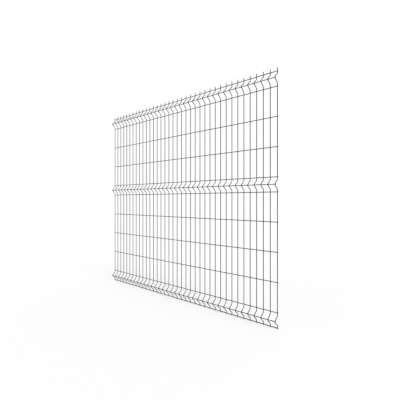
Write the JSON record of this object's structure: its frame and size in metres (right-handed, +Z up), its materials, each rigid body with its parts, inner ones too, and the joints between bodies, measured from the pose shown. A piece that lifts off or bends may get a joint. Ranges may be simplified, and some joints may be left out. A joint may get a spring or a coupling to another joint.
{
  "type": "welded mesh fence panel",
  "caption": "Welded wire mesh fence panel with level V folds that stiffen it and short spikes along its top edge, held by clamps on its two end wires.",
  "frame": {"origin": "outer flat of the left end wire, level with the axis of the lowest cross wire", "axes": "+X along the panel from its left end, +Y to the back where the cross wires lie, +Z up; the folds stand forward, towards -Y"},
  "size_m": [1.987, 0.0403, 1.7252],
  "materials": {
    "coated_wire": "dark grey powder coat, satin"
  },
  "bodies": {
    "root": {"bottom_fold": "coated_wire", "lower_field": "coated_wire", "middle_fold": "coated_wire", "upper_field": "coated_wire", "top_fold": "coated_wire"}
  },
  "joints": []
}
